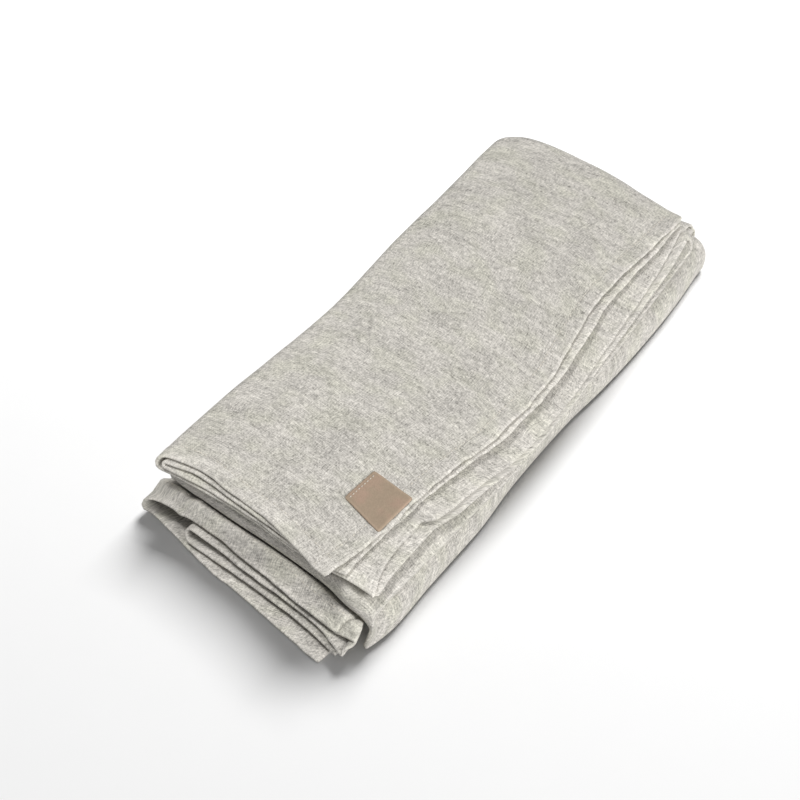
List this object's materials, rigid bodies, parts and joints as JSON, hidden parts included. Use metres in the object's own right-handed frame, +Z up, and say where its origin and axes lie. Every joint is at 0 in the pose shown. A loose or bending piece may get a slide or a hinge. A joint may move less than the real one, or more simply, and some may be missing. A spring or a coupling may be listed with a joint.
{
  "type": "folded tablecloth",
  "caption": "Folded linen tablecloth: a long soft bundle of nested layers with open hems along one side and a small sewn-on blank label.",
  "frame": {"origin": "middle of the bundle's footprint, on the surface it lies on", "axes": "+Y along the bundle from its open near end to its folded far end, +X across it towards the open hems, +Z up"},
  "size_m": [0.1884, 0.4597, 0.0525],
  "materials": {
    "linen": "matt, slubby plain weave",
    "label_leather": "matt"
  },
  "bodies": {
    "root": {"cloth": "linen", "label": "label_leather"}
  },
  "joints": []
}
